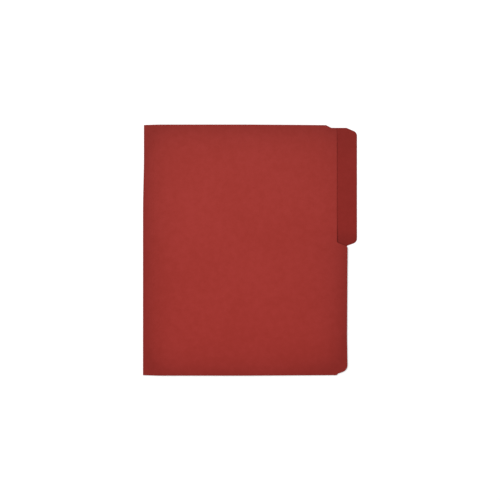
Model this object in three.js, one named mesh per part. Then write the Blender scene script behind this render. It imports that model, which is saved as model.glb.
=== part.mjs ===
// A letter-size file folder with a half-cut tab, cut and creased from one sheet of coloured card.
// It lies closed on its back leaf: the fold runs along Y on the -X side, the tab points to +X,
// the front leaf is uppermost and Z is up. The origin is on the resting surface, under the middle.
// Millimetres. Each panel of the sheet and each crease between two panels is a mesh of its own.
import * as THREE from "three";

// The card
const SHEET = 0.28;
const LENGTH = 295.3;
const LEAF_DEPTH = 240.6;
const BACK_SHORTFALL = 1.2;

// The closed fold: how far apart the middles of the two leaves lie, and the bend's inside radius
const LEAF_PITCH = 1.2;
const BEND_INSIDE = 0.1;
// Both ends of the sheet narrow by this much towards the fold, from the last score on
const FOLD_TAPER = 0.6;
// They also narrow by this much towards the free edge, from the middle of the leaf on
const FREE_TAPER = 0.6;
// The free edges are hollow between the tab and the corner away from it, by this much, and most
// at this distance from that end of the sheet
const FREE_HOLLOW = 0.6;
const HOLLOW_FROM_END = 44.3;

// The scores that let the folder expand, counted from the fold
const SCORE_COUNT = 3;
const SCORE_PITCH = 6.35;
const SCORE_WIDTH = 0.6;
const SCORE_DEPTH = 0.06;

// The end of both leaves beside the tab is cut back in a step, which starts this far from the free edge
const STEP_DROP = 3.8;
const STEP_START = 25.4;
const STEP_RUN = 6.2;

// The tab on the back leaf: how far it passes the front leaf's free edge, where it stops above
// the middle of the free edge, and the slopes and radii of its ends
const TAB_RISE = 11.1;
const TAB_STOP = 4.9;
const TAB_TOP_SLOPE = THREE.MathUtils.degToRad(23.5);
const TAB_FOOT_SLOPE = THREE.MathUtils.degToRad(20);
const TAB_CORNER = 6;
const TAB_FOOT = 2;

// The front leaf is cut back beside the tab, and its cut ends just past the foot of the tab
const UNDERCUT = 12.5;
const UNDERCUT_CLEARANCE = 0.6;
const UNDERCUT_INNER = 3.2;
const UNDERCUT_OUTER = 2.6;
const UNDERCUT_TOP = 4;

// The free corner of both leaves at the end away from the tab: a small nick, a slope and a rounding
const CORNER_RUN = 13;
const CORNER_NICK = 1.9;
const CORNER_SLOPE = THREE.MathUtils.degToRad(20);
const CORNER_RADIUS = 8;

const ARC_STEPS = 8;
const CARD_COLOUR = 0xa03832;
const CREASE_COLOUR = 0x8e302b;
const CARD_ROUGHNESS = 0.85;

// Places that follow from the sizes
const halfLength = LENGTH / 2;
const foldOutside = -(LEAF_DEPTH + TAB_RISE) / 2;
const foldX = foldOutside + SHEET / 2;
const frontEdge = foldOutside + LEAF_DEPTH;
const backEdge = frontEdge - BACK_SHORTFALL;
const tabEdge = frontEdge + TAB_RISE;
const bend = SHEET / 2 + BEND_INSIDE;
const backMiddle = SHEET / 2;
const frontMiddle = backMiddle + LEAF_PITCH;
const hingeZ = backMiddle + LEAF_PITCH / 2;
const lastScore = foldX + SCORE_COUNT * SCORE_PITCH;
const leafMiddle = foldOutside + LEAF_DEPTH / 2;
const freeHalfLength = halfLength - FREE_TAPER;
const hollowY = HOLLOW_FROM_END - halfLength;

// Half the sheet's length at a distance x, which shrinks towards the fold.
function halfLengthAt(x) {
  const fromFold = (x - foldX) / (lastScore - foldX);
  return halfLength - FOLD_TAPER * Math.max(0, 1 - fromFold);
}

// A closed outline through corners of x, y and radius. The first corner has no radius.
function outline(corners) {
  const shape = new THREE.Shape();
  shape.moveTo(corners[0][0], corners[0][1]);
  for (let i = 1; i < corners.length; i++) {
    const [x, y, radius = 0] = corners[i];
    const corner = new THREE.Vector2(x, y);
    const back = new THREE.Vector2(...corners[i - 1]).sub(corner);
    const on = new THREE.Vector2(...corners[(i + 1) % corners.length]).sub(corner);
    const room = Math.min(back.length(), on.length()) / 2;
    back.normalize();
    on.normalize();
    const half = Math.acos(THREE.MathUtils.clamp(back.dot(on), -1, 1)) / 2;
    const fillet = Math.min(radius, room * Math.tan(half));
    if (fillet === 0) {
      shape.lineTo(x, y);
      continue;
    }
    const along = fillet / Math.tan(half);
    const centre = back.clone().add(on).normalize().multiplyScalar(fillet / Math.sin(half)).add(corner);
    const start = corner.clone().addScaledVector(back, along).sub(centre).angle();
    const end = corner.clone().addScaledVector(on, along).sub(centre).angle();
    shape.absarc(centre.x, centre.y, fillet, start, end, back.cross(on) > 0);
  }
  shape.closePath();
  return shape;
}

// A named piece of card.
function piece(name, geometry, colour = CARD_COLOUR) {
  const material = new THREE.MeshStandardMaterial({
    color: colour,
    roughness: CARD_ROUGHNESS,
    metalness: 0,
  });
  const mesh = new THREE.Mesh(geometry, material);
  mesh.name = name;
  return mesh;
}

// A flat panel of card, cut to an outline, with its middle at the height given.
function panel(name, corners, middle) {
  const geometry = new THREE.ExtrudeGeometry(outline(corners), {
    depth: SHEET,
    bevelEnabled: false,
    curveSegments: ARC_STEPS,
  });
  const mesh = piece(name, geometry);
  mesh.position.z = middle - SHEET / 2;
  return mesh;
}

// A strip as long as the fold, whose section in X and Z is the shape given.
function crease(name, section, x, colour) {
  const length = 2 * halfLengthAt(x);
  const geometry = new THREE.ExtrudeGeometry(section, {
    depth: length,
    bevelEnabled: false,
    curveSegments: ARC_STEPS,
  });
  const mesh = piece(name, geometry, colour);
  mesh.rotation.x = Math.PI / 2;
  mesh.position.y = length / 2;
  return mesh;
}

// The end beside the tab, from the free edge towards the fold: the shoulder, the step and the taper.
function steppedEnd() {
  const foot = frontEdge - STEP_START + STEP_RUN;
  return [
    [foot, halfLength - STEP_DROP],
    [frontEdge - STEP_START, freeHalfLength],
    [leafMiddle, halfLength],
  ];
}

// The other end, from the fold on: the taper, the nick, the rounded corner and the hollow past it.
function cutCorner(edge) {
  const nickStart = edge - CORNER_RUN;
  const nickTop = CORNER_NICK - freeHalfLength;
  const slopeRise = (CORNER_RUN - CORNER_NICK) * Math.tan(CORNER_SLOPE);
  return [
    [leafMiddle, -halfLength],
    [nickStart, -freeHalfLength],
    [nickStart + CORNER_NICK, nickTop],
    [edge, nickTop + slopeRise, CORNER_RADIUS],
    [edge - FREE_HOLLOW, hollowY],
  ];
}

// The back leaf, with the tab standing out of its free edge.
function backLeaf() {
  const start = foldX + bend;
  const shoulder = halfLength - STEP_DROP;
  const reach = tabEdge - backEdge;
  return panel(
    "back_leaf",
    [
      [start, halfLengthAt(start)],
      [start, -halfLengthAt(start)],
      [lastScore, -halfLength],
      ...cutCorner(backEdge),
      [backEdge, TAB_STOP, TAB_FOOT],
      [tabEdge, TAB_STOP + reach * Math.tan(TAB_FOOT_SLOPE), TAB_CORNER],
      [tabEdge, shoulder - reach * Math.tan(TAB_TOP_SLOPE), TAB_CORNER],
      [backEdge, shoulder],
      ...steppedEnd(),
      [lastScore, halfLength],
    ],
    backMiddle,
  );
}

// The front leaf, cut back beside the tab.
function frontLeaf() {
  const start = lastScore + SCORE_WIDTH / 2;
  const cut = frontEdge - UNDERCUT;
  const foot = TAB_STOP - UNDERCUT_CLEARANCE;
  return panel(
    "front_leaf",
    [
      [start, halfLength],
      [start, -halfLength],
      ...cutCorner(frontEdge),
      [frontEdge, foot, UNDERCUT_OUTER],
      [cut, foot + UNDERCUT * Math.tan(TAB_FOOT_SLOPE), UNDERCUT_INNER],
      [cut, halfLength - STEP_DROP, UNDERCUT_TOP],
      ...steppedEnd(),
    ],
    frontMiddle,
  );
}

// A narrow panel between two creases, which becomes part of the spine when the folder expands.
function spinePanel(number) {
  const start = number === 1 ? foldX + bend : foldX + (number - 1) * SCORE_PITCH + SCORE_WIDTH / 2;
  const end = foldX + number * SCORE_PITCH - SCORE_WIDTH / 2;
  return panel(
    "spine_panel_" + number,
    [
      [start, halfLengthAt(start)],
      [start, -halfLengthAt(start)],
      [end, -halfLengthAt(end)],
      [end, halfLengthAt(end)],
    ],
    frontMiddle,
  );
}

// A score: the card is pressed in from the outside, which leaves a bead on the inside.
function score(number) {
  const x = foldX + number * SCORE_PITCH;
  const half = SCORE_WIDTH / 2;
  const top = frontMiddle + SHEET / 2;
  const under = frontMiddle - SHEET / 2;
  const section = outline([
    [x - half, under],
    [x, under - SCORE_DEPTH],
    [x + half, under],
    [x + half, top],
    [x, top - SCORE_DEPTH],
    [x - half, top],
  ]);
  return crease("score_crease_" + number, section, x, CREASE_COLOUR);
}

// The bend from the back leaf up into the edge of the fold, as far as the line that the cover turns on.
function backBend() {
  const x = foldX + bend;
  const z = backMiddle + bend;
  const section = new THREE.Shape();
  section.moveTo(x, z - BEND_INSIDE);
  section.absarc(x, z, BEND_INSIDE, -Math.PI / 2, Math.PI, true);
  section.lineTo(foldX + SHEET / 2, hingeZ);
  section.lineTo(foldX - SHEET / 2, hingeZ);
  section.absarc(x, z, bend + SHEET / 2, Math.PI, -Math.PI / 2, false);
  section.closePath();
  return crease("back_fold_crease", section, foldX, CREASE_COLOUR);
}

// The edge of the closed fold, from the line that the cover turns on up to the front bend.
function foldEdge() {
  const section = outline([
    [foldX - SHEET / 2, hingeZ],
    [foldX + SHEET / 2, hingeZ],
    [foldX + SHEET / 2, frontMiddle - bend],
    [foldX - SHEET / 2, frontMiddle - bend],
  ]);
  return crease("fold_edge", section, foldX);
}

// The bend from the edge of the fold over into the front of the folder.
function frontBend() {
  const x = foldX + bend;
  const z = frontMiddle - bend;
  const section = new THREE.Shape();
  section.moveTo(foldX - SHEET / 2, z);
  section.lineTo(foldX + SHEET / 2, z);
  section.absarc(x, z, BEND_INSIDE, Math.PI, Math.PI / 2, true);
  section.lineTo(x, z + bend + SHEET / 2);
  section.absarc(x, z, bend + SHEET / 2, Math.PI / 2, Math.PI, false);
  section.closePath();
  return crease("front_fold_crease", section, foldX, CREASE_COLOUR);
}

const folder = new THREE.Group();
folder.add(backLeaf(), backBend(), foldEdge(), frontBend());
for (let number = 1; number <= SCORE_COUNT; number++) folder.add(spinePanel(number), score(number));
folder.add(frontLeaf());

export default folder;
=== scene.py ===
# %% [markdown]
# # A file folder with a half-cut tab
# The object is one sheet of red card, folded once. The folder lies closed on a pale table with its
# fold on the left, and the tab of its back leaf looks out on the right. A rigid model comes first,
# with a plain solid for each panel and each crease of the sheet. This lesson loads that model, makes a
# skin of real card for each of its parts, gives the card its finish, and lights it plainly.

# %% Load the rigid model
import math

import bmesh
import bpy
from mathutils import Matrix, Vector
from mathutils.geometry import intersect_point_line


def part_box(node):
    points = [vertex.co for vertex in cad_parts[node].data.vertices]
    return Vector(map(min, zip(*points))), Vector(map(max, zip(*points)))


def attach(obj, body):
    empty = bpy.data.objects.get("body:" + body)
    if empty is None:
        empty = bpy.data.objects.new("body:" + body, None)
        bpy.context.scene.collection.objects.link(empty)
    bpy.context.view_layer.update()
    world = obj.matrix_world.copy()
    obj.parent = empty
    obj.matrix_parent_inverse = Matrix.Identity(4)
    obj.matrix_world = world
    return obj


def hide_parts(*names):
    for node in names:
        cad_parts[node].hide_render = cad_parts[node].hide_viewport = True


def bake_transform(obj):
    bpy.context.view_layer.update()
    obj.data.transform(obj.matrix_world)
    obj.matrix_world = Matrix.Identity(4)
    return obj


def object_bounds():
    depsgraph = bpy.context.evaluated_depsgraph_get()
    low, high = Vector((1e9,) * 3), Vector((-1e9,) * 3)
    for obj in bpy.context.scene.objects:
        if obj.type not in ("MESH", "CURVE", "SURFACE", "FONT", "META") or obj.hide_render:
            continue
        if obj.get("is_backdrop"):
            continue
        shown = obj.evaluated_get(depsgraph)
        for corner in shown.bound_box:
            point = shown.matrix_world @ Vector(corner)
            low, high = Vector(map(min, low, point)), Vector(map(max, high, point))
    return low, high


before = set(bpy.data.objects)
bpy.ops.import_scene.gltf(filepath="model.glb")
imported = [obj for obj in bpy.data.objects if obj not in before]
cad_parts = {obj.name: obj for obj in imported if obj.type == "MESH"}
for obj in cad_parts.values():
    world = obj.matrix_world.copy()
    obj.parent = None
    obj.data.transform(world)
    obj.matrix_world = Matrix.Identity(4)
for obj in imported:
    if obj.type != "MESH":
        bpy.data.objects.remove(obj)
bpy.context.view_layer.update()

# %% [markdown]
# ## Where the parts of the sheet lie
# Neighbouring skins have to meet, so the places of the leaves, the fold and the scores matter most.
# They could be written down again here, but then they might drift away from the rigid model, so they
# are read from its boxes. The skins are modelled in millimetres and scaled to metres at the end,
# because some of Blender's tools lose accuracy on edges far shorter than a millimetre.

# %% Places read from the rigid model
MM = 0.001
X, Y, Z = 0, 1, 2


def node_box(node):
    """The lowest and highest corners of a part of the rigid model at rest, in millimetres."""
    return [[round(value / MM, 4) for value in corner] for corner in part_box(node)]


def span_of(node):
    """Where a part of the rigid model starts and ends on the way from the fold to the free edge."""
    low, high = node_box(node)
    return low[X], high[X]


back_low, back_high = node_box("back_leaf")
cover_low, cover_high = node_box("front_leaf")
fold_low, fold_high = node_box("fold_edge")
SHEET = back_high[Z] - back_low[Z]
HALF_LENGTH = back_high[Y]
TAB_EDGE = back_high[X]
FRONT_EDGE = cover_high[X]
FOLD_X = (fold_low[X] + fold_high[X]) / 2
LEAF_MIDDLE = (fold_low[X] + FRONT_EDGE) / 2
BACK_MIDDLE = SHEET / 2
FRONT_MIDDLE = cover_high[Z] - SHEET / 2
HINGE_Z = fold_low[Z]
BEND = FRONT_MIDDLE - fold_high[Z]
print("sheet, mm:", round(SHEET, 3), "length:", 2 * HALF_LENGTH, "fold at x =", round(FOLD_X, 3))

# %% The taper towards the fold
SCORE_COUNT = 3
LAST_SCORE = sum(span_of(f"score_crease_{SCORE_COUNT}")) / 2
FOLD_TAPER = HALF_LENGTH - fold_high[Y]


def half_length_at(x):
    """Half the length of the sheet at a distance x, which shrinks a little towards the fold."""
    from_fold = (x - FOLD_X) / (LAST_SCORE - FOLD_X)
    return HALF_LENGTH - FOLD_TAPER * max(0, 1 - from_fold)


print("half length at the fold and the last score:", half_length_at(FOLD_X), half_length_at(LAST_SCORE))


# %% [markdown]
# ## Outlines
# Each leaf is die-cut, so its outline is a few straight lines with rounded corners. It could be drawn
# as a curve and filled. Here a flat face is laid through the corners and a vertex bevel rounds each of
# them, because that is a mesh at once and the radii stay plain numbers. One die cuts both leaves at
# their two ends, and only the free edges differ: one has the tab, and the other is cut back beside it.

# %% Rounded outlines
ARC_STEPS = 10


def rounded_plan(corners):
    """A flat face through corners of x, y and radius, in millimetres."""
    plan = bmesh.new()
    points = [plan.verts.new((x, y, 0)) for x, y, radius in corners]
    plan.faces.new(points)
    for point, (x, y, radius) in zip(points, corners):
        if radius == 0:
            continue
        back, on = [edge.other_vert(point).co - point.co for edge in point.link_edges]
        bmesh.ops.bevel(
            plan,
            geom=[point],
            offset=radius / math.tan(back.angle(on) / 2),
            offset_type="OFFSET",
            segments=ARC_STEPS,
            profile=0.5,
            affect="VERTICES",
            material=-1,
        )
    return plan


def border_through(corners):
    """The border of a rounded plan, as pairs of end points."""
    plan = rounded_plan(corners)
    border = [[vert.co.copy() for vert in edge.verts] for edge in plan.edges if edge.is_boundary]
    plan.free()
    return border


rounded_square = border_through([(0, 0, 1), (9, 0, 1), (9, 9, 1), (0, 9, 1)])
print("lines round a square with four rounded corners:", len(rounded_square))

# %% The end beside the tab
STEP_START = 25.4
STEP_RUN = 6.2
STEP_DROP = 3.8
FREE_TAPER = 0.6
FREE_HALF_LENGTH = HALF_LENGTH - FREE_TAPER
SHOULDER = HALF_LENGTH - STEP_DROP


def stepped_end():
    """From the free edge towards the fold: the shoulder, the step and the taper."""
    return [
        (FRONT_EDGE - STEP_START + STEP_RUN, SHOULDER, 0),
        (FRONT_EDGE - STEP_START, FREE_HALF_LENGTH, 0),
        (LEAF_MIDDLE, HALF_LENGTH, 0),
    ]


print("shoulder, mm from the middle:", SHOULDER)

# %% The corner away from the tab
CORNER_RUN = 13
CORNER_NICK = 1.9
CORNER_SLOPE = math.radians(20)
CORNER_RADIUS = 8
FREE_HOLLOW = 0.6
HOLLOW_FROM_END = 44.3


def cut_corner(edge):
    """From the fold towards a free edge: the taper, the nick, the rounding and the hollow past it."""
    nick_start = edge - CORNER_RUN
    nick_top = CORNER_NICK - FREE_HALF_LENGTH
    slope_rise = (CORNER_RUN - CORNER_NICK) * math.tan(CORNER_SLOPE)
    return [
        (LEAF_MIDDLE, -HALF_LENGTH, 0),
        (nick_start, -FREE_HALF_LENGTH, 0),
        (nick_start + CORNER_NICK, nick_top, 0),
        (edge, nick_top + slope_rise, CORNER_RADIUS),
        (edge - FREE_HOLLOW, HOLLOW_FROM_END - HALF_LENGTH, 0),
    ]


def start_line(start):
    """The line x = start, and the ends of the taper where the piece reaches past the last score."""
    line = [(start, half_length_at(start), 0), (start, -half_length_at(start), 0)]
    if start < LAST_SCORE:
        line = [(LAST_SCORE, HALF_LENGTH, 0), *line, (LAST_SCORE, -HALF_LENGTH, 0)]
    return line


print("corner starts, mm from the free edge:", CORNER_RUN)

# %% The cover and its undercut
TAB_STOP = 4.9
TAB_FOOT_SLOPE = math.radians(20)
UNDERCUT = 12.5
UNDERCUT_CLEARANCE = 0.6
UNDERCUT_OUTER = 2.6
UNDERCUT_INNER = 3.2
UNDERCUT_TOP = 4
CUT_BACK = FRONT_EDGE - UNDERCUT


def cover_corners(start):
    """The cover from the line x = start to its free edge, which is cut back beside the tab."""
    foot = TAB_STOP - UNDERCUT_CLEARANCE
    return [
        *start_line(start),
        *cut_corner(FRONT_EDGE),
        (FRONT_EDGE, foot, UNDERCUT_OUTER),
        (CUT_BACK, foot + UNDERCUT * math.tan(TAB_FOOT_SLOPE), UNDERCUT_INNER),
        (CUT_BACK, SHOULDER, UNDERCUT_TOP),
        *stepped_end(),
    ]


print("cover is cut back to x =", CUT_BACK)

# %% The back leaf and its tab
BACK_SHORTFALL = 1.2
BACK_EDGE = FRONT_EDGE - BACK_SHORTFALL
TAB_TOP_SLOPE = math.radians(23.5)
TAB_CORNER = 6
TAB_FOOT = 2


def back_corners(start, free_edge=BACK_EDGE):
    """The back leaf from the line x = start, with the tab standing out of its free edge."""
    reach = TAB_EDGE - free_edge
    return [
        *start_line(start),
        *cut_corner(free_edge),
        (free_edge, TAB_STOP, TAB_FOOT),
        (TAB_EDGE, TAB_STOP + reach * math.tan(TAB_FOOT_SLOPE), TAB_CORNER),
        (TAB_EDGE, SHOULDER - reach * math.tan(TAB_TOP_SLOPE), TAB_CORNER),
        (free_edge, SHOULDER, 0),
        *stepped_end(),
    ]


print("tab, mm long:", SHOULDER - TAB_STOP, "and past the cover by", round(TAB_EDGE - FRONT_EDGE, 2))


# %% [markdown]
# ## From a flat plan to a piece of card
# Card is thin, and what gives it away is its edge: the die leaves it square, and handling rounds it a
# little. The Solidify and Bevel modifiers could make that, but they would also round the edges that
# carry on into a crease. So the plan is ringed near its border, ruled into a grid so that it can sag,
# and extruded to its thickness, and then only its die-cut edges are eased.

# %% Rings and rulings
RINGS = (0.3, 0.5, 0.9)
# Points closer than these are in one place, or so close that they become one
SAME_PLACE = 1e-4
TOUCHING = 0.01


def ring(plan):
    """Rings just inside the border, where the tone of the card changes fastest."""
    middle = plan.faces[:]
    for width in RINGS:
        bmesh.ops.inset_region(
            plan, faces=middle, thickness=width, use_boundary=True, use_even_offset=True
        )


def rule(plan, axis, places):
    """Cuts the plan along lines across the axis, and joins points that are almost in one place."""
    across = Vector((1, 0, 0)) if axis == "x" else Vector((0, 1, 0))
    for place in places:
        everything = plan.verts[:] + plan.edges[:] + plan.faces[:]
        bmesh.ops.bisect_plane(
            plan, geom=everything, dist=SAME_PLACE, plane_co=across * place, plane_no=across
        )
    bmesh.ops.remove_doubles(plan, verts=plan.verts[:], dist=TOUCHING)


def spread(low, high, step):
    """Evenly spaced places between low and high."""
    count = math.ceil((high - low) / step)
    return [low + (high - low) * number / count for number in range(1, count)]


print("rings, mm inside the border:", [round(sum(RINGS[:count]), 1) for count in (1, 2, 3)])

# %% Thickness and eased edges
EASE = 0.06
# In radians: only the square edges of the card are sharper
EDGE_ANGLE = 1


def thicken(plan):
    """Extrudes the plan upwards to the thickness of the card."""
    raised = bmesh.ops.extrude_face_region(plan, geom=plan.faces[:])["geom"]
    top = [item for item in raised if isinstance(item, bmesh.types.BMVert)]
    bmesh.ops.translate(plan, verts=top, vec=(0, 0, SHEET))
    bmesh.ops.recalc_face_normals(plan, faces=plan.faces[:])


def ease(card, joined):
    """Rounds the die-cut edges. An edge on a line x in joined carries on into a crease."""
    cut = []
    for edge in card.edges:
        if not edge.is_manifold or edge.calc_face_angle() < EDGE_ANGLE:
            continue
        a, b = [vert.co for vert in edge.verts]
        level = abs(a.z - b.z) < SAME_PLACE
        on_crease = any(abs(a.x - x) < TOUCHING and abs(b.x - x) < TOUCHING for x in joined)
        if level and not on_crease:
            cut.append(edge)
    bmesh.ops.bevel(
        card,
        geom=cut,
        offset=EASE,
        offset_type="OFFSET",
        segments=2,
        profile=0.5,
        affect="EDGES",
        material=-1,
    )


print("die-cut edges are eased by, mm:", EASE)


# %% [markdown]
# ## How the sheet lies
# An empty folder isn't perfectly flat. The cover sags in the middle, lies close to the back leaf along
# the tab and springs up a little at its foot, and both leaves cockle with the damp. The fold is drawn
# in towards the end that the tab is at, because it was pressed there first. A cloth simulation could
# drape the leaves, but card is far stiffer than cloth. So these moves are formulas of the place, which
# also keeps neighbouring pieces together.

# %% Sag, spring and cockle
def smooth(low, high, value):
    """From nothing at low to one at high, with soft ends."""
    share = min(max((value - low) / (high - low), 0), 1)
    return share * share * (3 - 2 * share)


def cockle(x, y):
    """Two crossing waves, some 150 mm long, between minus one and one."""
    return 0.5 * math.sin(x / 31 + y / 47) + 0.5 * math.sin(y / 26 - x / 58)


def hump(x, y):
    """One in the middle of the leaves and nothing at the creases and the ends."""
    across = min(max((x - LAST_SCORE) / (FRONT_EDGE - LAST_SCORE), 0), 1)
    along = min(max(y / HALF_LENGTH, -1), 1)
    return math.sin(math.pi * across) * (1 - along * along)


print("in the middle the cockle is", round(cockle(LEAF_MIDDLE, 0) * hump(LEAF_MIDDLE, 0), 2))

# %% How the leaves lie
COVER_SAG, COVER_COCKLE = 0.3, 0.05
BACK_RISE, BACK_COCKLE = 0.12, 0.04
# Along the tab the cover is pressed down in two steps, which start and end at these places
TAB_PRESS, TAB_STEP = 0.5, (14, 40)
SHOULDER_PRESS, SHOULDER_STEP = 0.25, (120, 138)
SPRING, SPRING_REACH = 0.4, 18
NEAR_TAB = 30


def cover_lie(x, y):
    """How far the cover stands above its flat place."""
    pressed = TAB_PRESS * smooth(*TAB_STEP, y) + SHOULDER_PRESS * smooth(*SHOULDER_STEP, y)
    spring = SPRING * math.exp(-(((y - TAB_STOP) / SPRING_REACH) ** 2))
    sag = hump(x, y) * (COVER_SAG - COVER_COCKLE * cockle(x, y))
    return smooth(NEAR_TAB, CUT_BACK, x) * (spring - pressed) - sag


def back_lie(x, y):
    """How far the back leaf stands above its flat place."""
    return hump(x, y) * (BACK_RISE + BACK_COCKLE * cockle(x, y))


print("the middle of the cover sags by, mm:", round(-cover_lie(LEAF_MIDDLE, 0), 2))
print("the cover springs up at the foot of the tab by, mm:", round(cover_lie(CUT_BACK, TAB_STOP), 2))

# %% The fold, drawn in at the tab's end
FOLD_DRIFT = 1.1
DRIFT_STARTS = 45
DRIFT_ENDS = 112
first_strip_low, first_strip_high = span_of("spine_panel_1")


def fold_drift(x, y):
    """How far the fold is drawn in, which the first strip of the spine takes up."""
    share = (x - first_strip_low) / (first_strip_high - first_strip_low)
    near_fold = 1 - min(max(share, 0), 1)
    return FOLD_DRIFT * near_fold * smooth(DRIFT_STARTS, DRIFT_ENDS, y)


print("the fold is drawn in by, mm:", fold_drift(FOLD_X, HALF_LENGTH))


# %% [markdown]
# ## Painted shade at the borders
# The card is painted darker from the borders of the closed folder inwards, most where two borders meet:
# this is painted shade. Its cut edges darken where fingers rub them. The tone could be painted on an
# image, but then it would need a map for each piece. Instead each vertex of the skins gets two numbers,
# which follow the tab and the cut corners by themselves: how much painted shade it gets, and its
# distance from the cut edge of its own leaf. The card's material reads both.

# %% Borders and their sides
def side_of(line):
    """Which side of the folder a line of its border belongs to."""
    a, b = line
    if abs(b.y - a.y) > abs(b.x - a.x) or abs(a.y) < HALF_LENGTH / 2:
        return "fold" if a.x < LEAF_MIDDLE and abs(b.x - a.x) < 1 else "free edge"
    return "tab end" if a.y > 0 else "other end"


# How strongly each side of the folder gets painted shade
SIDE_SHADE_WEIGHTS = {"fold": 1.05, "free edge": 1.0, "tab end": 0.85, "other end": 0.88}
cover_border = border_through(cover_corners(fold_low[X]))
back_border = border_through(back_corners(fold_low[X]))
folder_border = border_through(back_corners(fold_low[X], FRONT_EDGE))
folder_sides = {side: [line for line in folder_border if side_of(line) == side] for side in SIDE_SHADE_WEIGHTS}
print("border lines:", {side: len(lines) for side, lines in folder_sides.items()})

# %% How dark a place is
REACH = 17.5


def distance_from(border, point):
    """How far a point lies from the nearest line of a border, seen from above."""
    flat = Vector((point.x, point.y, 0))
    nearest = math.inf
    for a, b in border:
        foot, share = intersect_point_line(flat, a, b)
        foot = a if share < 0 else b if share > 1 else foot
        nearest = min(nearest, (foot - flat).length)
    return nearest


# Painted shade: the card is painted darker towards the folder's borders
def painted_edge_shade(point):
    """Nothing in the middle of the folder, and up to one at its borders."""
    tones = [
        SIDE_SHADE_WEIGHTS[side] * math.exp(-distance_from(lines, point) / REACH)
        for side, lines in folder_sides.items()
    ]
    return min(sum(tones), 1)


print("darkened, at the middle:", round(painted_edge_shade(Vector((LEAF_MIDDLE, 0, 0))), 4))

# %% Finish a piece
SMOOTH_BELOW = math.radians(40)


def finish_piece(name, card, leaf_border, lie):
    """Writes the two numbers, lays the card as it sags, and makes the object."""
    # The first number is painted shade towards the folder's borders, the second the distance from the
    # cut edge
    tone = card.verts.layers.float.new("painted_edge_shade")
    cut = card.verts.layers.float.new("from_cut")
    for vert in card.verts:
        vert[tone] = painted_edge_shade(vert.co)
        vert[cut] = distance_from(leaf_border, vert.co)
    for vert in card.verts:
        x, y, z = vert.co
        vert.co = (x + fold_drift(x, y), y, z + lie(x, y))
    bmesh.ops.scale(card, verts=card.verts[:], vec=(MM, MM, MM))
    mesh = bpy.data.meshes.new(name)
    card.to_mesh(mesh)
    card.free()
    mesh.shade_smooth()
    mesh.set_sharp_from_angle(angle=SMOOTH_BELOW)
    piece = bpy.data.objects.new(name, mesh)
    bpy.context.scene.collection.objects.link(piece)
    print(name, len(mesh.polygons), "faces")
    return piece


# %% [markdown]
# ## The two leaves
# The cover starts at the last score and the back leaf at the fold. On the real folder they are one
# sheet, and they could be one mesh with a rig that bends it. But each crease moves on its own joint,
# so each leaf is a piece that rides on its own body. Both leaves get the same treatment, so one
# function makes them.

# %% Cover and back leaf
GRID = 7


def leaf(name, corners, start, middle, border, lie):
    """A leaf from the line x = start on, with the middle of its thickness at the height given."""
    card = rounded_plan(corners)
    ring(card)
    rule(card, "x", spread(start, TAB_EDGE, GRID))
    rule(card, "y", spread(-HALF_LENGTH, HALF_LENGTH, GRID))
    thicken(card)
    ease(card, [start])
    bmesh.ops.translate(card, verts=card.verts[:], vec=(0, 0, middle - SHEET / 2))
    return finish_piece(name, card, border, lie)


cover_start = cover_low[X]
back_start = back_low[X]
cover_card = leaf(
    "cover_card", cover_corners(cover_start), cover_start, FRONT_MIDDLE, cover_border, cover_lie
)
back_card = leaf(
    "back_card", back_corners(back_start), back_start, BACK_MIDDLE, back_border, back_lie
)
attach(cover_card, "front_leaf")
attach(back_card, "back_leaf")
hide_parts("front_leaf")
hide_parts("back_leaf")


# %% [markdown]
# ## The spine
# Three scores run beside the fold on the cover side. They let the folder swell as it fills: each score
# bends, and the strips between them become the spine. The scores could be drawn as dark lines in the
# material, but then they wouldn't catch the light. So a strip is a flat piece of card, and a score is a
# narrow strip whose middle is pressed down, as a steel rule leaves it. Each strip rides on the body of
# its panel, and the last score rides on the cover.

# %% Rulings across a narrow piece
def cross_lines(half):
    """Places for rulings across a narrow piece, which are closer together near its two ends."""
    inner = half - 2
    return [*spread(-inner, inner, GRID), -inner, inner, -inner - 1, inner + 1]


print("rulings across a strip:", len(cross_lines(HALF_LENGTH)))


# %% A strip of the cover
def strip(name, low, high, columns, press=0.0):
    """A strip of the cover between two lines, pressed in along its middle."""
    corners = [
        (low, half_length_at(low), 0),
        (low, -half_length_at(low), 0),
        (high, -half_length_at(high), 0),
        (high, half_length_at(high), 0),
    ]
    card = rounded_plan(corners)
    rule(card, "x", spread(low, high, (high - low) / columns))
    rule(card, "y", cross_lines(half_length_at(low)))
    thicken(card)
    ease(card, [low, high])
    bmesh.ops.translate(card, verts=card.verts[:], vec=(0, 0, FRONT_MIDDLE - SHEET / 2))
    centre = (low + high) / 2
    for vert in card.verts:
        off = min(abs(vert.co.x - centre) / (high - low) * 2, 1)
        vert.co.z -= press * (1 + math.cos(math.pi * off)) / 2
    return finish_piece(name, card, cover_border, cover_lie)


# %% Strips and scores
SCORE_PRESS = 0.05
STRIP_COLUMNS, SCORE_COLUMNS = 2, 8
strips = []
scores = []
for number in range(1, SCORE_COUNT + 1):
    panel = f"spine_panel_{number}"
    spine_strip = strip(f"spine_strip_{number}", *span_of(panel), STRIP_COLUMNS)
    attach(spine_strip, panel)
    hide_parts(panel)
    strips.append(spine_strip)

    crease = f"score_crease_{number}"
    low, high = span_of(crease)
    score = strip(f"score_line_{number}", low, high, SCORE_COLUMNS, SCORE_PRESS)
    if number < SCORE_COUNT:
        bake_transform(score)
    else:
        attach(score, "front_leaf")
    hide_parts(crease)
    scores.append(score)


# %% [markdown]
# ## The fold
# The fold is where the sheet turns back over itself. A Bevel on a sharp corner could round it, but the
# inside of the bend is rounder than the outside allows. So the end of the card is spun through a
# quarter turn and drawn up to the line that the cover turns on, and the other half mirrors it.

# %% Half a fold
BEND_STEPS = 6
print("the fold turns on a radius of, mm:", round(BEND, 2))


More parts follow.
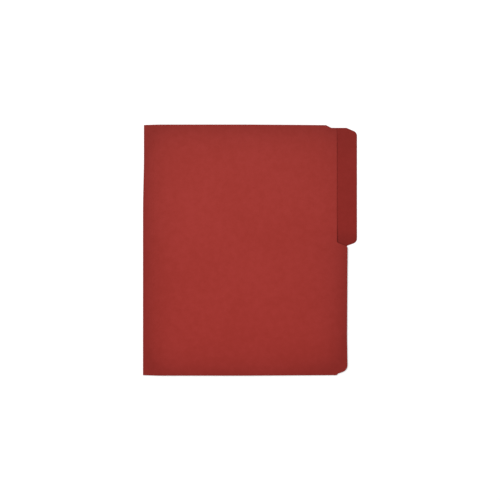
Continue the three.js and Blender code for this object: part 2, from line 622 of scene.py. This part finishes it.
def half_fold(name, middle, towards):
    """The bend from a leaf at the height of its middle to the edge of the fold."""
    card = bmesh.new()
    half = half_length_at(FOLD_X)
    start = FOLD_X + BEND
    corners = ((half, -1), (-half, -1), (-half, 1), (half, 1))
    section = [card.verts.new((start, y, middle + side * SHEET / 2)) for y, side in corners]
    face = card.faces.new(section)
    spun = bmesh.ops.spin(
        card,
        geom=[face, *face.edges, *face.verts],
        cent=(start, 0, middle + towards * BEND),
        axis=(0, 1, 0),
        angle=towards * math.pi / 2,
        steps=BEND_STEPS,
    )
    tip = [item for item in spun["geom_last"] if isinstance(item, bmesh.types.BMFace)]
    drawn = bmesh.ops.extrude_discrete_faces(card, faces=tip)["faces"]
    for vert in {vert for made in drawn for vert in made.verts}:
        vert.co.z = HINGE_Z
    bmesh.ops.remove_doubles(card, verts=card.verts[:], dist=SAME_PLACE)
    rule(card, "y", cross_lines(half))
    bmesh.ops.recalc_face_normals(card, faces=card.faces[:])
    return finish_piece(name, card, cover_border, lambda x, y: 0)


back_fold_bend = half_fold("back_fold_bend", BACK_MIDDLE, 1)
front_fold_bend = half_fold("front_fold_bend", FRONT_MIDDLE, -1)
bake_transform(back_fold_bend)
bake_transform(front_fold_bend)
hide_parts("back_fold_crease")
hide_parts("front_fold_crease", "fold_edge")

# %% [markdown]
# ## The card
# Dyed card looks flat from afar, but it is a felt of fibres: broad faint clouds, a grain a few
# millimetres wide, fine flecks, and a tooth that takes off any gloss. A photograph of card could give
# all that, but it would show a seam where two pieces meet. Noise that follows the place on the folder
# has no seams. One node group makes the fibres, and another turns the two numbers on the vertices into
# the tone of the card. Both are used by every card material.

# %% Helpers for colours and groups
def srgb(red, green, blue):
    """A colour as a screen shows it, from 0 to 255, as Blender's linear colour."""
    shares = [value / 255 for value in (red, green, blue)]
    linear = [s / 12.92 if s <= 0.04045 else ((s + 0.055) / 1.055) ** 2.4 for s in shares]
    return (*linear, 1)


def new_group(name, inputs, outputs):
    """A node group, its input node and its output node."""
    group = bpy.data.node_groups.new(name, "ShaderNodeTree")
    for label, kind, value in inputs:
        socket = group.interface.new_socket(name=label, in_out="INPUT", socket_type=kind)
        if value is not None:
            socket.default_value = value
    for label, kind in outputs:
        group.interface.new_socket(name=label, in_out="OUTPUT", socket_type=kind)
    print("node group:", name, "with inputs", [label for label, kind, value in inputs])
    return group, group.nodes.new("NodeGroupInput"), group.nodes.new("NodeGroupOutput")


# %% Helpers for nodes
def map_range(nodes, low, high, start, end, smooth=True):
    """Turns low to high into start to end, with soft ends if smooth."""
    node = nodes.new("ShaderNodeMapRange")
    node.interpolation_type = "SMOOTHSTEP" if smooth else "LINEAR"
    for label, value in (("From Min", low), ("From Max", high), ("To Min", start), ("To Max", end)):
        node.inputs[label].default_value = value
    return node


def maths(nodes, operation, value=0.0):
    """A sum or the like, with its second number."""
    node = nodes.new("ShaderNodeMath")
    node.operation = operation
    node.inputs[1].default_value = value
    return node


def noise(nodes, detail, scale=None):
    """A noise texture. Its scale may come from a wire instead."""
    node = nodes.new("ShaderNodeTexNoise")
    node.inputs["Detail"].default_value = detail
    if scale is not None:
        node.inputs["Scale"].default_value = scale
    return node


# %% Helpers for mixing and wiring
def colour_socket(node, label):
    """The colour input of a mix node, which also has hidden inputs of the same name."""
    return next(item for item in node.inputs if item.name == label and item.type == "RGBA")


def colour_mix(nodes, blend, first=(1, 1, 1, 1), second=(1, 1, 1, 1)):
    """Mixes or multiplies two colours."""
    node = nodes.new("ShaderNodeMix")
    node.data_type = "RGBA"
    node.blend_type = blend
    node.inputs["Factor"].default_value = 1
    colour_socket(node, "A").default_value = first
    colour_socket(node, "B").default_value = second
    return node


def wire(tree, *wires):
    """Links an output of one node to an input of another, by name or number."""
    for start, output, end, label in wires:
        is_mix = end.bl_idname == "ShaderNodeMix" and label in ("A", "B")
        socket = colour_socket(end, label) if is_mix else end.inputs[label]
        if start.bl_idname == "ShaderNodeMix":
            tree.links.new(next(item for item in start.outputs if item.type == "RGBA"), socket)
        else:
            tree.links.new(start.outputs[output], socket)


# %% The clouds and the grain of the card
CLOUD_SHARE = 0.36
GRAIN_ROUGHNESS = 0.75
fibres, fibres_in, fibres_out = new_group(
    "card fibres",
    [
        ("Vector", "NodeSocketVector", None),
        ("Clouds per Metre", "NodeSocketFloat", 14.0),
        ("Grain per Metre", "NodeSocketFloat", 120.0),
    ],
    [("Clouds", "NodeSocketFloat"), ("Flecks", "NodeSocketFloat"), ("Height", "NodeSocketFloat")],
)
clouds = noise(fibres.nodes, 1)
grain = noise(fibres.nodes, 3)
grain.inputs["Roughness"].default_value = GRAIN_ROUGHNESS
broad = maths(fibres.nodes, "MULTIPLY", CLOUD_SHARE)
narrow = maths(fibres.nodes, "MULTIPLY", 1 - CLOUD_SHARE)
mottling = maths(fibres.nodes, "ADD")
wire(
    fibres,
    (fibres_in, "Vector", clouds, "Vector"),
    (fibres_in, "Clouds per Metre", clouds, "Scale"),
    (fibres_in, "Vector", grain, "Vector"),
    (fibres_in, "Grain per Metre", grain, "Scale"),
    (clouds, "Fac", broad, 0),
    (grain, "Fac", narrow, 0),
    (broad, "Value", mottling, 0),
    (narrow, "Value", mottling, 1),
    (mottling, "Value", fibres_out, "Clouds"),
)

# %% The flecks and the tooth
FLECKS_PER_METRE = 1400
FELT_PER_METRE = 2600
FELT_TWIST = 1.5
# The fibres lie along the fold, so their noise is drawn out that way
ALONG_FOLD = 0.45
flecks = noise(fibres.nodes, 3, FLECKS_PER_METRE)
felt = noise(fibres.nodes, 2, FELT_PER_METRE)
felt.inputs["Distortion"].default_value = FELT_TWIST
along_fibres = fibres.nodes.new("ShaderNodeMapping")
along_fibres.inputs["Scale"].default_value = (1, ALONG_FOLD, 1)
tooth = maths(fibres.nodes, "ADD")
wire(
    fibres,
    (fibres_in, "Vector", along_fibres, "Vector"),
    (along_fibres, "Vector", flecks, "Vector"),
    (along_fibres, "Vector", felt, "Vector"),
    (flecks, "Fac", tooth, 0),
    (felt, "Fac", tooth, 1),
    (flecks, "Fac", fibres_out, "Flecks"),
    (tooth, "Value", fibres_out, "Height"),
)
print("a fleck is about", round(1000 / FLECKS_PER_METRE, 1), "mm wide")

# %% The painted shade at the borders and the clouds
MIDDLE_TONE = srgb(159, 51, 44)
# The border tone is painted shade, darker than the card's middle tone
BORDER_SHADE_TONE = srgb(134, 40, 34)
DULL_CLOUD = (0.962, 0.915, 0.885, 1)
BRIGHT_CLOUD = (1.038, 1.085, 1.115, 1)
CLOUD_LOW, CLOUD_HIGH = 0.39, 0.61
shade_and_wear, shade_and_wear_in, shade_and_wear_out = new_group(
    "painted shade and wear",
    [
        ("Painted Shade", "NodeSocketFloat", 0.0),
        ("From Cut", "NodeSocketFloat", 1.0),
        ("Clouds", "NodeSocketFloat", 0.5),
        ("Flecks", "NodeSocketFloat", 0.5),
        ("Towards Tab End", "NodeSocketFloat", 0.5),
        ("Middle", "NodeSocketColor", MIDDLE_TONE),
        ("Border", "NodeSocketColor", BORDER_SHADE_TONE),
    ],
    [("Color", "NodeSocketColor")],
)
# Mixes in the painted shade towards the borders
tone = colour_mix(shade_and_wear.nodes, "MIX")
mottled = map_range(shade_and_wear.nodes, CLOUD_LOW, CLOUD_HIGH, 0, 1, smooth=False)
mottle = colour_mix(shade_and_wear.nodes, "MIX", DULL_CLOUD, BRIGHT_CLOUD)
clouded = colour_mix(shade_and_wear.nodes, "MULTIPLY")
wire(
    shade_and_wear,
    (shade_and_wear_in, "Painted Shade", tone, "Factor"),
    (shade_and_wear_in, "Middle", tone, "A"),
    (shade_and_wear_in, "Border", tone, "B"),
    (shade_and_wear_in, "Clouds", mottled, "Value"),
    (mottled, "Result", mottle, "Factor"),
    (tone, "Result", clouded, "A"),
    (mottle, "Result", clouded, "B"),
)

# %% Paler towards the tab's end, rubbed edges and flecks
# A little paler, with more green and blue, towards the tab's end
OTHER_END_TINT = (1, 0.93, 0.95, 1)
TAB_END_TINT = (1, 1.1, 1.14, 1)
# The edge is darkest up to the first of these distances, and as the rest from the second on
RUBBED, RUBBED_FROM, RUBBED_TO = 0.97, 0.1, 1
FLECK_LOW, FLECK_HIGH = 0.3, 0.7
DARK_FLECK, LIGHT_FLECK = 0.98, 1.02
end_tint = colour_mix(shade_and_wear.nodes, "MIX", OTHER_END_TINT, TAB_END_TINT)
end_tinted = colour_mix(shade_and_wear.nodes, "MULTIPLY")
rubbed = map_range(shade_and_wear.nodes, RUBBED_FROM, RUBBED_TO, RUBBED, 1)
flecked = map_range(
    shade_and_wear.nodes, FLECK_LOW, FLECK_HIGH, DARK_FLECK, LIGHT_FLECK, smooth=False
)
fine = maths(shade_and_wear.nodes, "MULTIPLY")
shaded = colour_mix(shade_and_wear.nodes, "MULTIPLY")
wire(
    shade_and_wear,
    (shade_and_wear_in, "Towards Tab End", end_tint, "Factor"),
    (clouded, "Result", end_tinted, "A"),
    (end_tint, "Result", end_tinted, "B"),
    (shade_and_wear_in, "From Cut", rubbed, "Value"),
    (shade_and_wear_in, "Flecks", flecked, "Value"),
    (rubbed, "Result", fine, 0),
    (flecked, "Result", fine, 1),
    (end_tinted, "Result", shaded, "A"),
    (fine, "Value", shaded, "B"),
    (shaded, "Result", shade_and_wear_out, "Color"),
)
print("nodes in the groups:", {group.name: len(group.nodes) for group in bpy.data.node_groups})


# %% [markdown]
# ## Three finishes of one sheet
# The cover, the back leaf and the creases are the same card, so one function makes their materials.
# The tab is painted in a deeper tone as painted shade, and it fades into the leaf under the cover. It
# could be a piece of its own with another colour, but its border would be a hard line then. The whole
# folder is painted a little paler, with more green and blue, towards the tab's end. Along a crease the
# fibres are broken and pressed, which makes the tooth rougher.

# %% Helpers for materials
def vertex_number(nodes, name):
    """A number that the vertices of the skins carry."""
    node = nodes.new("ShaderNodeAttribute")
    node.attribute_name = name
    return node


def node_of(nodes, group):
    """A node group, placed in a material."""
    node = nodes.new("ShaderNodeGroup")
    node.node_tree = group
    return node


# %% A card material
TOOTH_DEPTH = 0.02
GLOSS = 0.15
ROUGHNESS_SPREAD = 0.05
NOISE_LOW, NOISE_HIGH = 0.3, 0.7


def card_material(name, tooth, rough):
    """A card finish, with the strength of its tooth and its roughness."""
    material = bpy.data.materials.new(name)
    material.use_nodes = True
    nodes = material.node_tree.nodes
    shader = nodes["Principled BSDF"]
    shader.inputs["Specular IOR Level"].default_value = GLOSS
    place = nodes.new("ShaderNodeTexCoord")
    parts = nodes.new("ShaderNodeSeparateXYZ")
    parts.name = "Place"
    # Where a place lies between the two ends, for the paler tone towards the tab's end
    towards_tab_end = map_range(nodes, -HALF_LENGTH * MM, HALF_LENGTH * MM, 0, 1, smooth=False)
    grain = node_of(nodes, fibres)
    shaded_and_worn = node_of(nodes, shade_and_wear)
    shaded_and_worn.name = "Shaded And Worn"
    bump = nodes.new("ShaderNodeBump")
    bump.inputs["Strength"].default_value = tooth
    bump.inputs["Distance"].default_value = TOOTH_DEPTH * MM
    smoother, rougher = rough - ROUGHNESS_SPREAD, rough + ROUGHNESS_SPREAD
    roughness = map_range(nodes, NOISE_LOW, NOISE_HIGH, smoother, rougher, smooth=False)
    wire(
        material.node_tree,
        (place, "Object", grain, "Vector"),
        (place, "Object", parts, "Vector"),
        (parts, "Y", towards_tab_end, "Value"),
        (towards_tab_end, "Result", shaded_and_worn, "Towards Tab End"),
        (vertex_number(nodes, "painted_edge_shade"), "Fac", shaded_and_worn, "Painted Shade"),
        (vertex_number(nodes, "from_cut"), "Fac", shaded_and_worn, "From Cut"),
        (grain, "Clouds", shaded_and_worn, "Clouds"),
        (grain, "Flecks", shaded_and_worn, "Flecks"),
        (shaded_and_worn, "Color", shader, "Base Color"),
        (grain, "Clouds", roughness, "Value"),
        (roughness, "Result", shader, "Roughness"),
        (grain, "Height", bump, "Height"),
        (bump, "Normal", shader, "Normal"),
    )
    print("material:", name)
    return material


cover_finish = card_material("cover card", 0.5, 0.86)
back_finish = card_material("back card", 0.5, 0.86)
crease_finish = card_material("creased card", 0.8, 0.9)


# %% Where the tab is
UNDER_COVER = 70
BELOW_TAB, ON_TAB = -8, 6


def tab_mask(tree, parts):
    """One on the tab and nothing on the leaf, fading out under the cover."""
    outward = map_range(tree.nodes, UNDER_COVER * MM, CUT_BACK * MM, 0, 1)
    along = map_range(tree.nodes, BELOW_TAB * MM, ON_TAB * MM, 0, 1)
    on_tab = maths(tree.nodes, "MULTIPLY")
    wire(
        tree,
        (parts, "X", outward, "Value"),
        (parts, "Y", along, "Value"),
        (outward, "Result", on_tab, 0),
        (along, "Result", on_tab, 1),
    )
    return on_tab


# %% Where the tab's ends get painted shade
FOOT_SHADE_SPAN = (8, 30)
TOP_SHADE_SPAN = (90, 146)
TOP_SHARE = 0.55


# Painted shade at the two ends of the tab
def tab_end_shade_mask(tree, parts, on_tab):
    """One at the foot of the tab, about a half at its top and nothing between them."""
    foot = map_range(tree.nodes, FOOT_SHADE_SPAN[0] * MM, FOOT_SHADE_SPAN[1] * MM, 1, 0)
    top = map_range(tree.nodes, TOP_SHADE_SPAN[0] * MM, TOP_SHADE_SPAN[1] * MM, 0, TOP_SHARE)
    end = maths(tree.nodes, "MAXIMUM")
    tab_end_shade = maths(tree.nodes, "MULTIPLY")
    wire(
        tree,
        (parts, "Y", foot, "Value"),
        (parts, "Y", top, "Value"),
        (foot, "Result", end, 0),
        (top, "Result", end, 1),
        (end, "Value", tab_end_shade, 0),
        (on_tab, "Value", tab_end_shade, 1),
    )
    return tab_end_shade


# %% The tab's painted shade
# The tab is painted darker than the cover, as painted shade
TAB_SHADE_TONE = srgb(138, 38, 32)
TAB_BORDER_SHADE_TONE = srgb(135, 37, 31)
# How dark the painted shade at the tab's ends is
TAB_END_SHADE = (0.84, 0.84, 0.84, 1)


def paint_tab_shade(material):
    """Paints shade on the tab, deepest at its two ends."""
    tree = material.node_tree
    shaded_and_worn = tree.nodes["Shaded And Worn"]
    on_tab = tab_mask(tree, tree.nodes["Place"])
    tab_end_shade = tab_end_shade_mask(tree, tree.nodes["Place"], on_tab)
    middle = colour_mix(tree.nodes, "MIX", MIDDLE_TONE, TAB_SHADE_TONE)
    border = colour_mix(tree.nodes, "MIX", BORDER_SHADE_TONE, TAB_BORDER_SHADE_TONE)
    tab_end_shaded = colour_mix(tree.nodes, "MULTIPLY", second=TAB_END_SHADE)
    wire(
        tree,
        (on_tab, "Value", middle, "Factor"),
        (on_tab, "Value", border, "Factor"),
        (middle, "Result", shaded_and_worn, "Middle"),
        (border, "Result", shaded_and_worn, "Border"),
        (tab_end_shade, "Value", tab_end_shaded, "Factor"),
        (shaded_and_worn, "Color", tab_end_shaded, "A"),
        (tab_end_shaded, "Result", tree.nodes["Principled BSDF"], "Base Color"),
    )


paint_tab_shade(back_finish)
print("nodes in the back card's material:", len(back_finish.node_tree.nodes))


# %% Finishes on the pieces
def give(piece, finish):
    """Gives a piece its material."""
    piece.data.materials.append(finish)


give(back_card, back_finish)
for piece in [cover_card, *strips]:
    give(piece, cover_finish)
creases = [*scores, back_fold_bend, front_fold_bend]
for piece in creases:
    give(piece, crease_finish)
print("creased pieces:", [piece.name for piece in creases])

# %% [markdown]
# ## The table and the light
# A product is shown on white. A floor bright enough to clip to white would need so much light that the
# card would clip too. So the floor is a pale matt sheet that is lit like the folder, and only for the
# camera it gets a little light of its own: it reads as white and still keeps the soft shadow under the
# card. Far from the folder that light grows, because the lamp doesn't reach there. One wide lamp and
# an even sky give the plain light.

# %% What the camera sees
def seen_directly(tree):
    """One where the camera sees a surface, also in a mirror or through glass, and nothing elsewhere."""
    rays = tree.nodes.new("ShaderNodeLightPath")
    mirrored = maths(tree.nodes, "MAXIMUM")
    direct = maths(tree.nodes, "MAXIMUM")
    wire(
        tree,
        (rays, "Is Camera Ray", mirrored, 0),
        (rays, "Is Glossy Ray", mirrored, 1),
        (mirrored, "Value", direct, 0),
        (rays, "Is Transmission Ray", direct, 1),
    )
    return direct


# %% The floor
# When the folder lies open its cover is upside down, and the sprung corner needs a little room
FLOOR_Z = -0.2 * MM
FLOOR_REACH = 4
floor_mesh = bpy.data.meshes.new("floor")
grid = bmesh.new()
bmesh.ops.create_grid(grid, x_segments=1, y_segments=1, size=FLOOR_REACH)
bmesh.ops.translate(grid, verts=grid.verts[:], vec=(0, 0, FLOOR_Z))
grid.to_mesh(floor_mesh)
grid.free()
floor = bpy.data.objects.new("floor", floor_mesh)
bpy.context.scene.collection.objects.link(floor)
floor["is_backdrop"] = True
print("floor, m:", 2 * FLOOR_REACH, "wide")

# %% The floor's finish
NEAR, FAR = 0.3, 1.5
NEAR_GLOW, FAR_GLOW = 0.36, 0.62
TABLE_TONE = (0.8, 0.8, 0.8, 1)
TABLE_ROUGHNESS = 0.95
floor_finish = bpy.data.materials.new("white table")
floor_finish.use_nodes = True
nodes = floor_finish.node_tree.nodes
matt = nodes["Principled BSDF"]
matt.inputs["Base Color"].default_value = TABLE_TONE
matt.inputs["Roughness"].default_value = TABLE_ROUGHNESS
matt.inputs["Specular IOR Level"].default_value = 0
glow = nodes.new("ShaderNodeEmission")
place = nodes.new("ShaderNodeTexCoord")
distance = nodes.new("ShaderNodeVectorMath")
distance.operation = "LENGTH"
glow_strength = map_range(nodes, NEAR, FAR, NEAR_GLOW, FAR_GLOW)
shown = maths(nodes, "MULTIPLY")
both = nodes.new("ShaderNodeAddShader")
wire(
    floor_finish.node_tree,
    (place, "Object", distance, 0),
    (distance, "Value", glow_strength, "Value"),
    (seen_directly(floor_finish.node_tree), "Value", shown, 0),
    (glow_strength, "Result", shown, 1),
    (shown, "Value", glow, "Strength"),
    (matt, "BSDF", both, 0),
    (glow, "Emission", both, 1),
    (both, "Shader", nodes["Material Output"], "Surface"),
)
floor_mesh.materials.append(floor_finish)
print("floor's own light:", NEAR_GLOW, "near the folder and", FAR_GLOW, "far away")

# %% The sky
SKY_STRENGTH = 0.5
WHITE = (1, 1, 1, 1)
world = bpy.data.worlds.new("studio")
world.use_nodes = True
bpy.context.scene.world = world
nodes = world.node_tree.nodes
sky = nodes["Background"]
sky.inputs["Color"].default_value = WHITE
sky.inputs["Strength"].default_value = SKY_STRENGTH
white = nodes.new("ShaderNodeBackground")
white.inputs["Color"].default_value = WHITE
choose = nodes.new("ShaderNodeMixShader")
wire(
    world.node_tree,
    (seen_directly(world.node_tree), "Value", choose, "Fac"),
    (sky, "Background", choose, 1),
    (white, "Background", choose, 2),
    (choose, "Shader", nodes["World Output"], "Surface"),
)
print("sky strength:", SKY_STRENGTH)

# %% The lamp
LAMP_SIDE = 1.6
LAMP_POWER = 22
LAMP_PLACE = (-0.8, 0.55, 1.4)
lamp_data = bpy.data.lights.new("wide lamp", "AREA")
lamp_data.shape = "SQUARE"
lamp_data.size = LAMP_SIDE
lamp_data.energy = LAMP_POWER
lamp = bpy.data.objects.new("wide lamp", lamp_data)
lamp.location = LAMP_PLACE
lamp.rotation_euler = (-lamp.location).to_track_quat("-Z", "Y").to_euler()
bpy.context.scene.collection.objects.link(lamp)
print("lamp, m away:", round(lamp.location.length, 2))

# %% [markdown]
# ## The camera
# The folder was photographed straight from above, with the fold on the left. An orthographic camera
# would show that too, but it can't be moved round the folder as a viewer would see it. So a long lens
# looks from far away, which keeps the edges straight. The picture is about 0.588 m wide at the height
# of the cover.

# %% Camera and colour handling
VIEW_WIDTH = 0.5877
VIEW_MIDDLE_Y = 0.14
LENS = 80
camera_data = bpy.data.cameras.new("camera")
camera_data.lens = LENS
camera = bpy.data.objects.new("camera", camera_data)
camera_height = VIEW_WIDTH * LENS / camera_data.sensor_width + cover_high[Z] * MM
camera.location = (0, VIEW_MIDDLE_Y * MM, camera_height)
bpy.context.scene.collection.objects.link(camera)
bpy.context.scene.camera = camera
bpy.context.scene.view_settings.view_transform = "Standard"
print("camera height, m:", round(camera_height, 3))

# %% [markdown]
# ## Measure and finish
# The skins may sag and spring, so the box of the dressed model is printed.

# %% Measure and finish
low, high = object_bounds()
print("dressed model, mm:", [round(side * 1000, 2) for side in high - low])
